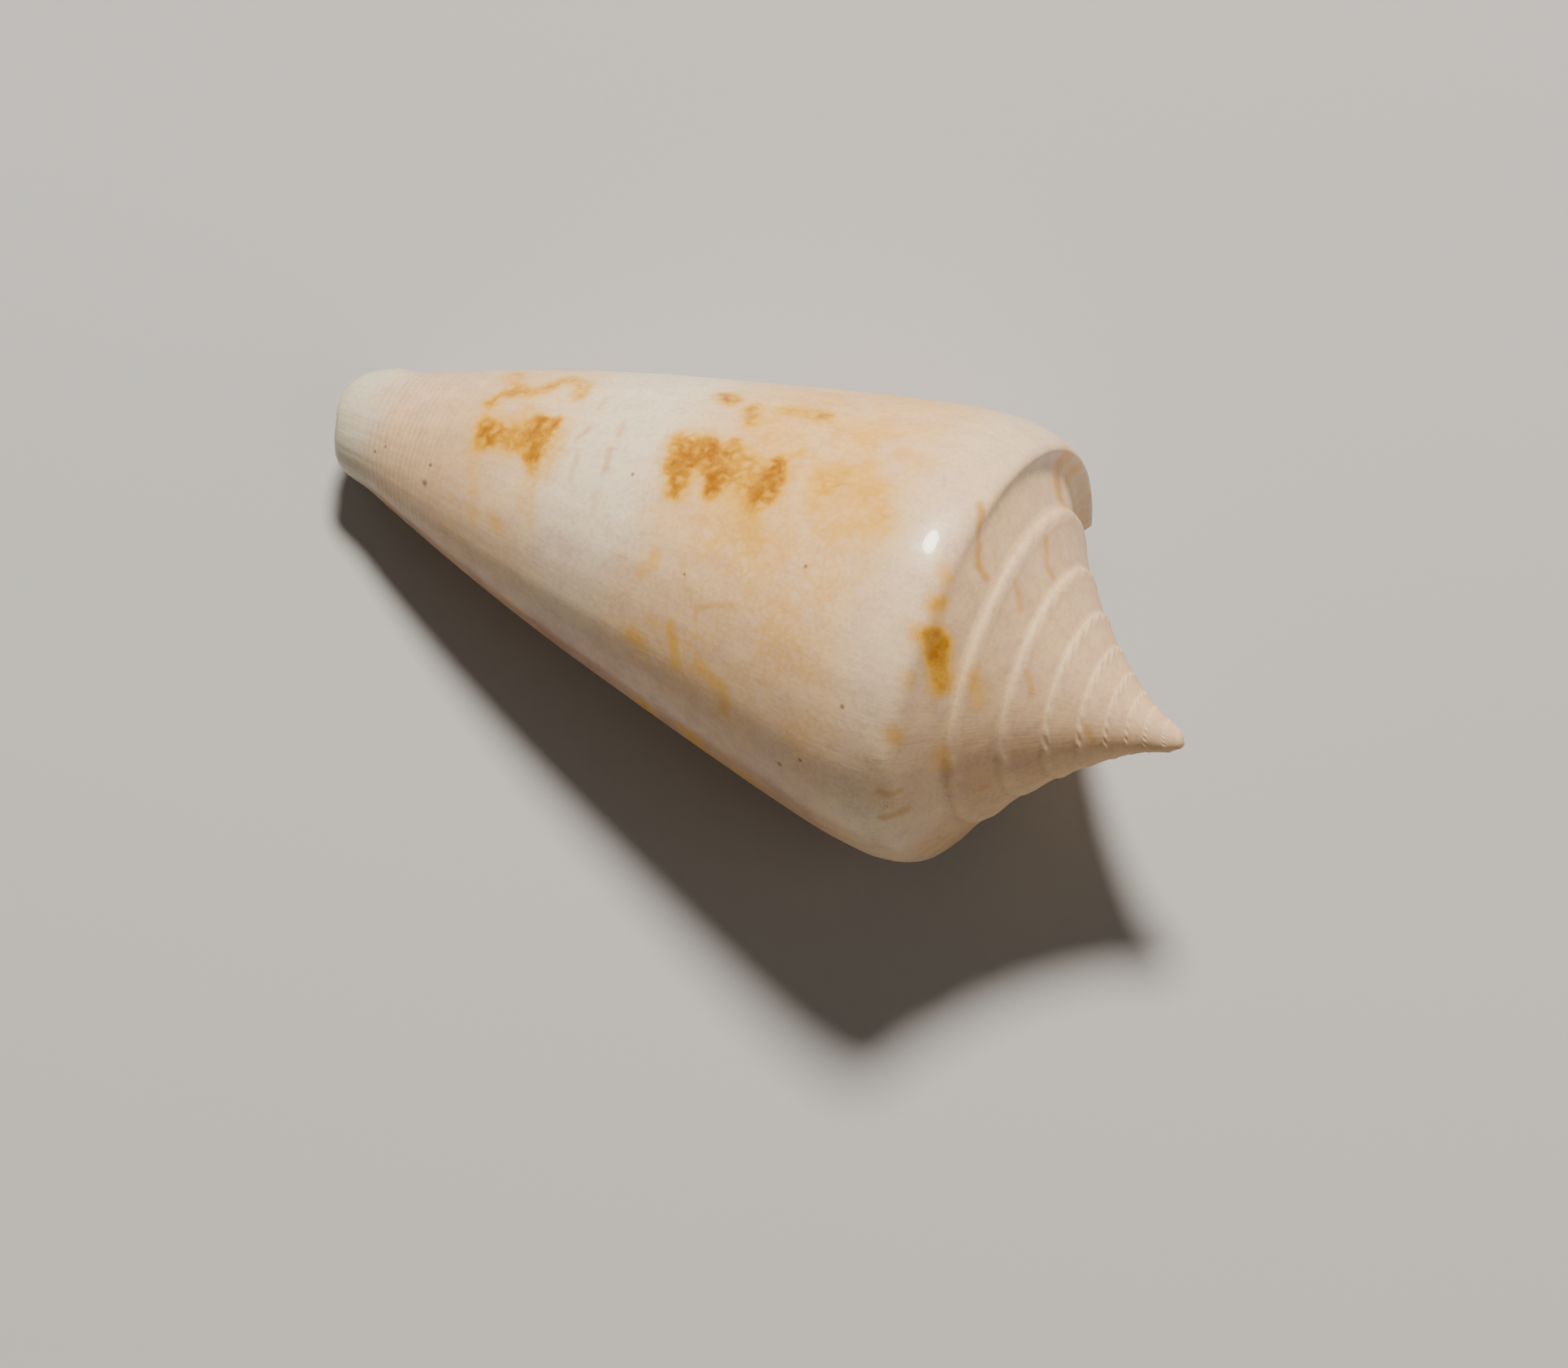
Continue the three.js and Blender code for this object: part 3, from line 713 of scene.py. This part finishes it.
def stroke_points(stroke, to_place):
    """Points on the shell along a line of marks, close enough together to measure from."""
    stroke = np.asarray(stroke, float)
    at = np.linspace(0, len(stroke) - 1, 16 * (len(stroke) - 1) + 1)
    return to_place(*(np.interp(at, np.arange(len(stroke)), stroke[:, k]) for k in (0, 1)))


def paint(field, points, marks, to_place):
    """Lays each mark's strength on the vertices near it; where marks overlap they build up."""
    for strength, half_width, stroke in marks:
        line = stroke_points(stroke, to_place)
        middle = line.mean(axis=0)
        reach = np.linalg.norm(line - middle, axis=1).max() + BLOTCH_FADE[1] * half_width
        near = np.flatnonzero(np.linalg.norm(points - middle, axis=1) < reach)
        gap = np.linalg.norm(points[near][:, None] - line[None], axis=2).min(axis=1)
        value = strength * (1 - smooth(*BLOTCH_FADE, gap / half_width))
        field[near] = 1 - (1 - field[near]) * (1 - value)


def paint_lines(fields, points, normals, marks, to_place):
    """Stores how far each vertex lies across the nearest line and beyond its end, in half widths."""
    for strength, half_width, stroke in marks:
        line = stroke_points(stroke, to_place)
        middle = line.mean(axis=0)
        reach = np.linalg.norm(line - middle, axis=1).max() + 2 * half_width + LINE_MARGIN
        near = np.flatnonzero(np.linalg.norm(points - middle, axis=1) < reach)
        gaps = np.linalg.norm(points[near][:, None] - line[None], axis=2)
        k = gaps.argmin(axis=1)
        gap = gaps.min(axis=1)
        way = np.gradient(line, axis=0)[k]
        way /= np.linalg.norm(way, axis=1)[:, None]
        offset = points[near] - line[k]
        beyond = np.abs(np.sum(offset * way, axis=1)) * ((k == 0) | (k == len(line) - 1))
        across = np.sum(offset * np.cross(way, normals[near]), axis=1)
        closer = gap / half_width < fields["gap"][near]
        inside = near[closer]
        fields["gap"][inside] = (gap / half_width)[closer]
        fields["across"][inside] = (across / half_width)[closer]
        fields["beyond"][inside] = (beyond / half_width)[closer]
        kept = 1 - smooth(0.5, 1, (gap - 1.5 * half_width) / LINE_MARGIN)
        fields["stroke"][inside] = strength * kept[closer]


def ramp_place(t, q):
    return place(t, *ramp_point(t, q))


def side_place(degrees, w):
    t = TURNS - (degrees - LIP_ANGLE) / 360
    return place(t, *side_point(t, w))


def lower_side_shade_and_tan(degrees, w):
    """Painted shade on the lower side, partly the shell's own brown tone; it grows stronger towards the
    base and fades out again behind.
    """
    under = 0.2 * smooth(85, 118, degrees) + 0.75 * smooth(128, 158, degrees)
    under *= (1 - 0.7 * smooth(162, 215, degrees)) * (1 - smooth(290, 320, degrees))
    return under * (0.7 + 0.6 * w) * smooth(-0.02, 0.12, w)


def fields_of(points, normals, ramp, side):
    """The shell's looks by place: blotches, strokes, the tones of its bands, and painted shade on its
    lower side.
    """
    names = ("blotch", "stroke", "across", "beyond", "net", "white", "peach", "tan_and_shade", "tip", "matte")
    fields = {name: np.zeros(len(points)) for name in names}
    fields["gap"] = np.full(len(points), np.inf)
    paint(fields["blotch"], points, SIDE_BLOTCHES, side_place)
    paint(fields["blotch"], points, RAMP_BLOTCHES, ramp_place)
    paint_lines(fields, points, normals, SIDE_STROKES, side_place)
    paint_lines(fields, points, normals, RAMP_STROKES, ramp_place)
    del fields["gap"]

    # Tones of the side, with painted shade on its lower side
    w = np.broadcast_to(SIDE_ROWS, side[0].shape)
    degrees = LIP_ANGLE - 360 * (turns_of(BODY) - TURNS)
    index = side[0]
    for name, (at, value) in SIDE_BANDS.items():
        fields[name][index] = np.interp(w, at, value)
    fields["peach"][index] *= 1 - 0.7 * smooth(84, 110, degrees)
    # Painted shade: less white on the lower side, so the white band turns pinker there
    fields["white"][index] *= 1 - 0.5 * smooth(95, 130, degrees) * (1 - smooth(200, 230, degrees))
    # Painted shade on the lower side, partly the shell's own brown tone, laid over the tan bands
    fields["tan_and_shade"][index] = np.maximum(lower_side_shade_and_tan(degrees, w), fields["tan_and_shade"][index])
    fields["tip"][index] = smooth(0.88, 0.98, w)

    # Tones of the ramps
    t = turns_of(FIRST)
    q = RAMP_ROWS[None, :]
    index = ramp[0]
    late = smooth(TURNS - 1.2, TURNS - 0.5, t)
    near_lip = smooth(TURNS - 0.16, TURNS - 0.04, t)
    ridge = smooth(0.65, 0.84, q)
    # Near the lip the ramps have no tan, which is their own paler tone, and extra white, which is
    # painted light against the shade there
    fields["white"][index] = 0.15 + 0.15 * ridge + (0.25 * late + 0.5 * near_lip) * smooth(0.4, 0.8, q)
    fields["peach"][index] = 0.15
    fields["tan_and_shade"][index] = (0.34 - 0.08 * late - 0.14 * ridge) * (1 - near_lip)
    fields["matte"][index] = 1 - smooth(TURNS - 1.5, TURNS - 0.6, t)
    return fields


# Material

class Wire:
    """A socket of a material, with Python's operators for its maths."""

    def __init__(self, tree, socket):
        self.tree = tree
        self.socket = socket

    def node(self, kind, inputs, output=0, **settings):
        made = self.tree.nodes.new(kind)
        for name, value in settings.items():
            setattr(made, name, value)
        for key, value in inputs.items():
            if isinstance(value, Wire):
                self.tree.links.new(value.socket, made.inputs[key])
            else:
                made.inputs[key].default_value = value
        return Wire(self.tree, made.outputs[output]) if made.outputs else None

    def math(self, operation, *others):
        return self.node("ShaderNodeMath", dict(enumerate((self, *others))), operation=operation)

    def reversed_math(self, operation, other):
        return self.node("ShaderNodeMath", {0: other, 1: self}, operation=operation)

    def __add__(self, other):
        return self.math("ADD", other)

    def __sub__(self, other):
        return self.math("SUBTRACT", other)

    def __mul__(self, other):
        return self.math("MULTIPLY", other)

    def __truediv__(self, other):
        return self.math("DIVIDE", other)

    def __rsub__(self, other):
        return self.reversed_math("SUBTRACT", other)

    __radd__ = __add__
    __rmul__ = __mul__

    def sin(self):
        return self.math("SINE")

    def step(self, start, end):
        """A smooth step from 0 at start to 1 at end."""
        return self.node(
            "ShaderNodeMapRange", {0: self, 1: start, 2: end, 3: 0.0, 4: 1.0},
            interpolation_type="SMOOTHSTEP",
        )

    def blend(self, low, high):
        """Mixes two colours by this factor."""
        return self.node("ShaderNodeMix", {0: self, 6: low, 7: high}, output=2, data_type="RGBA")

    def noise(self, scale, detail=2.0, roughness=0.5):
        return self.node(
            "ShaderNodeTexNoise",
            {"Vector": self, "Scale": scale, "Detail": detail, "Roughness": roughness},
        )

    def stretch(self, x, y, z):
        return self.node("ShaderNodeVectorMath", {0: self, 1: (x, y, z)}, operation="MULTIPLY")

    def shift(self, other):
        return self.node("ShaderNodeVectorMath", {0: other, 1: self}, operation="ADD")

    def distance(self, point):
        return self.node("ShaderNodeVectorMath", {0: self, 1: point}, output=1, operation="DISTANCE")


WHITE = (0.88, 0.76, 0.53, 1)
CREAM = (0.88, 0.62, 0.33, 1)
PEACH = (0.90, 0.48, 0.10, 1)
PINK = (0.80, 0.54, 0.42, 1)
# Brown of the tan bands and growth lines, and of the painted shade on the lower side
TAN_AND_SHADE = (0.46, 0.245, 0.14, 1)
BASE_GREY = (0.66, 0.60, 0.44, 1)
YELLOW = (0.79, 0.40, 0.02, 1)
AMBER = (0.34, 0.11, 0.0, 1)
OCHRE = (0.60, 0.30, 0.04, 1)
SPECK = (0.15, 0.08, 0.04, 1)
CORD_GAP = 0.2  # mm from cord to cord
CELL = 0.38  # mm across a drop of the net
ROUGHNESS = 0.36
COAT = 0.22
COAT_ROUGHNESS = 0.08
PORCELAIN_IOR = 1.38


class Ground:
    """What the parts of the material share: places on the shell, its fields, and common noise."""

    def __init__(self, tree):
        self.start = Wire(tree, None)
        self.place = self.start.node("ShaderNodeTexCoord", {}, output="Object").stretch(1000, 1000, 1000)
        self.corner = self.start.node("ShaderNodeUVMap", {}, uv_map="shell")
        self.distance = self.start.node("ShaderNodeSeparateXYZ", {0: self.corner}, output=1)
        self.patches = self.place.noise(0.35, 3.0) - 0.5
        self.mottle = self.place.noise(1.4, 4.0, 0.65) - 0.5
        self.grain = self.place.noise(6.0, 4.0, 0.7) - 0.5
        self.ragged = self.place.noise(3.2, 3.0, 0.6) - 0.5

        # Growth lines run along the side, cords run round the base
        self.streaks = self.corner.stretch(90, 0.25, 0).noise(1.0, 3.0, 0.6) - 0.5
        waves = (self.distance * (2 * np.pi / CORD_GAP) + self.grain * 1.5).sin()
        base = self.distance.step(16.2, 19.0) * (1 - self.distance.step(19.8, 20.9))
        self.cords = waves * base * (self.patches + 0.6)

    def field(self, name):
        return self.start.node("ShaderNodeAttribute", {}, output="Fac", attribute_name=name)


def broad_tones(ground):
    """Cream and white bands, peach, pink and brown patches, painted shade in brown and pink on the lower
    side, and the grey end of the base.
    """
    white = (ground.field("white") + ground.patches * 0.9 + ground.mottle * 0.7).step(0.0, 1.0)
    peach = ground.field("peach") * (ground.patches * 1.8 + ground.mottle * 1.2 + 0.75)
    # Pink follows noise and the tan field, brown follows the tan field: the tan bands and the painted
    # shade of the lower side
    pink = ground.place.noise(0.8, 4.0, 0.6).step(0.42, 0.7) * 0.4 + ground.field("tan_and_shade") * 0.4
    tan_and_shade = ground.field("tan_and_shade") * (ground.patches + ground.mottle + 0.75)
    tone = white.blend(CREAM, WHITE)
    tone = peach.blend(tone, PEACH)
    tone = pink.blend(tone, PINK)
    tone = tan_and_shade.blend(tone, TAN_AND_SHADE)
    return ground.field("tip").blend(tone, BASE_GREY)


def growth_lines(ground, colour):
    """Darker growth lines, cords and grain."""
    dark = ground.streaks * 0.4 + ground.mottle * 0.7 + ground.grain * 1.1 + ground.cords * 0.2 + 0.09
    return dark.blend(colour, TAN_AND_SHADE)


def blotches(ground, colour):
    """A net of pale drops with amber outlines; where a blotch is strong they fill."""
    wobble = ground.place.node(
        "ShaderNodeTexNoise", {"Vector": ground.place, "Scale": 2.2, "Detail": 2.0}, output=1,
    )
    bent = ground.place.shift(wobble.stretch(0.35, 0.35, 0.35))
    cells = bent.node(
        "ShaderNodeTexVoronoi", {"Vector": bent.stretch(0.8, 1.0, 1.0), "Scale": 1 / CELL},
        feature="DISTANCE_TO_EDGE",
    )
    blotch = ground.field("blotch")
    outline = 1 - (cells / (blotch * 0.2 + 0.1)).step(0.2, 1.8)
    spread = ground.place.noise(0.45, 3.0).step(0.42, 0.62)
    net = outline * spread * ground.field("net") * 0.35
    on_side = ground.distance.step(-0.3, 0.3)
    filled = 1 - (1 - outline) * on_side * 0.32
    amount = blotch * filled * (ground.ragged * 0.7 + ground.mottle * 0.8 + 1)
    colour = net.blend(colour, YELLOW)
    colour = (amount * 1.35).blend(colour, YELLOW)
    return amount.step(0.45, 1.25).blend(colour, AMBER)


def strokes(ground, colour):
    """Thin strokes with soft ends."""
    across = ground.field("across") + ground.ragged * 1.2
    beyond = ground.field("beyond")
    gap = (across * across + beyond * beyond).math("SQRT")
    stroke = ground.field("stroke") * (1 - gap.step(0.1, 1.6)) * (ground.mottle * 0.8 + 1)
    return (stroke * 0.9).blend(colour, OCHRE)


def specks(ground, colour):
    for degrees, w, radius in SPECKS:
        gap = ground.place.distance(tuple(side_place(np.array(degrees), np.array(w))))
        speck = (1 - gap.step(0.3 * radius, 1.3 * radius)) * 0.75
        colour = speck.blend(colour, SPECK)
    return colour


def fine_relief(ground):
    """Relief too fine for the mesh, coarser near the shoulder."""
    near_shoulder = ground.distance.step(-2.2, -0.4) * (1 - ground.distance.step(0.6, 2.5))
    glossy = 1 - ground.field("matte")
    crinkles = ground.corner.stretch(70, 1.2, 0).noise(1.0, 3.0, 0.6) * near_shoulder * glossy
    fine = ground.corner.stretch(300, 0.5, 0).noise(1.0, 2.0, 0.5) - 0.5
    height = ground.cords * 0.01 + ground.streaks * 0.008 + fine * 0.004 + ground.grain * 0.004
    height = height + crinkles * 0.02
    return height.node("ShaderNodeBump", {"Height": height, "Strength": 1.0, "Distance": MM})


def shell_material():
    material = bpy.data.materials.new("porcelain shell")
    material.use_nodes = True
    tree = material.node_tree
    tree.nodes.clear()
    ground = Ground(tree)
    colour = broad_tones(ground)
    for layer in (growth_lines, blotches, strokes, specks):
        colour = layer(ground, colour)

    uneven = ground.place.noise(1.1, 3.0) - 0.5
    matte = ground.field("matte")
    shader = ground.start.node("ShaderNodeBsdfPrincipled", {
        "Base Color": colour,
        "Roughness": ROUGHNESS + uneven * 0.12 + ground.field("tip") * 0.12 + matte * 0.3,
        "Normal": fine_relief(ground),
        "Coat Weight": COAT - matte * COAT,
        "Coat Roughness": COAT_ROUGHNESS,
        "IOR": PORCELAIN_IOR,
        "Subsurface Weight": 0.12,
        "Subsurface Radius": (1.0, 0.55, 0.3),
        "Subsurface Scale": 0.4 * MM,
    })
    shader.node("ShaderNodeOutputMaterial", {"Surface": shader})
    return material


def make_shell():
    surface, ramp, side = build_surface()
    points = surface.positions()
    triangles = np.concatenate(surface.triangles)
    corners = np.concatenate(surface.corners)
    height = np.zeros(len(points))
    height[side[0]] = side_relief(turns_of(BODY), SIDE_ROWS[None, :])
    height[ramp[0]] = ramp_relief(turns_of(FIRST), RAMP_ROWS[None, :])
    normals = normals_of(points, triangles)
    points = points + normals * height[:, None]
    fields = fields_of(points, normals, ramp, side)
    points[:, 2] = np.maximum(points[:, 2], 0)

    mesh = bpy.data.meshes.new("shell_look")
    mesh.from_pydata((points * MM).tolist(), [], triangles.tolist())
    layer = mesh.uv_layers.new(name="shell")
    layer.data.foreach_set("uv", corners.reshape(-1).astype(np.float32))
    for name, values in fields.items():
        attribute = mesh.attributes.new(name, "FLOAT", "POINT")
        attribute.data.foreach_set("value", values.astype(np.float32))
    mesh.shade_smooth()
    mesh.set_sharp_from_angle(angle=np.radians(60))
    mesh.materials.append(shell_material())
    shell = bpy.data.objects.new("shell_look", mesh)
    bpy.context.scene.collection.objects.link(shell)
    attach(shell, "root")
    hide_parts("shell")
    return shell


# Stage

def view_axes():
    """Right, up and towards the camera in the photo, in the row frame."""
    roll, lean = np.radians(VIEW_ROLL), np.radians(VIEW_LEAN)
    start = np.radians(-UP_ANGLE)
    outline = np.cos(start) * UP + np.sin(start) * ACROSS
    near = np.sin(-start) * UP + np.cos(start) * ACROSS
    first = np.array([np.sin(roll), np.cos(roll), 0])
    third = np.array([np.cos(lean) * np.cos(roll), -np.cos(lean) * np.sin(roll), np.sin(lean)])
    second = np.cross(third, first)
    return [first[k] * outline + second[k] * near + third[k] * AXIS for k in range(3)]


def make_camera(right, up, towards):
    middle = APEX_PLACE - LENGTH / 2 * AXIS
    aim = middle + VIEW_SHIFT[0] * right + VIEW_SHIFT[1] * up
    camera = bpy.data.objects.new("camera", bpy.data.cameras.new("camera"))
    bpy.context.scene.collection.objects.link(camera)
    camera.data.sensor_width = SENSOR_WIDTH
    camera.data.lens = SENSOR_WIDTH * VIEW_DISTANCE / VIEW_WIDTH
    camera.data.clip_start = 0.01
    camera.data.clip_end = 10
    turn = Matrix(np.stack([right, up, towards], axis=1).tolist())
    eye = (aim + VIEW_DISTANCE * towards) * MM
    camera.matrix_world = Matrix.Translation(eye.tolist()) @ turn.to_4x4()
    bpy.context.scene.camera = camera


def make_light(name, axes, bearing, distance, size, power, colour):
    light = bpy.data.lights.new(name, "AREA")
    light.shape = "DISK"
    light.size = size
    light.energy = power
    light.color = colour
    lamp = bpy.data.objects.new(name, light)
    direction = Vector(sum(axes[k] * bearing[k] for k in range(3))).normalized()
    lamp.location = direction * distance
    lamp.rotation_mode = "QUATERNION"
    lamp.rotation_quaternion = direction.to_track_quat("Z", "Y")
    bpy.context.scene.collection.objects.link(lamp)


def make_floor():
    mesh = bpy.data.meshes.new("floor")
    corners = [(x * FLOOR_HALF, y * FLOOR_HALF, 0) for x, y in ((-1, -1), (1, -1), (1, 1), (-1, 1))]
    mesh.from_pydata(corners, [], [(0, 1, 2, 3)])
    material = bpy.data.materials.new("pale floor")
    material.use_nodes = True
    shader = material.node_tree.nodes["Principled BSDF"]
    shader.inputs["Base Color"].default_value = FLOOR_COLOUR
    shader.inputs["Roughness"].default_value = FLOOR_ROUGHNESS
    mesh.materials.append(material)
    floor = bpy.data.objects.new("floor", mesh)
    bpy.context.scene.collection.objects.link(floor)


def make_world():
    world = bpy.data.worlds.new("studio")
    world.use_nodes = True
    background = world.node_tree.nodes["Background"]
    background.inputs["Color"].default_value = WORLD_COLOUR
    background.inputs["Strength"].default_value = WORLD_STRENGTH
    bpy.context.scene.world = world


make_shell()
make_floor()
make_world()
axes = view_axes()
make_camera(*axes)
for light_name, light_values in LIGHTS.items():
    make_light(light_name, axes, **light_values)
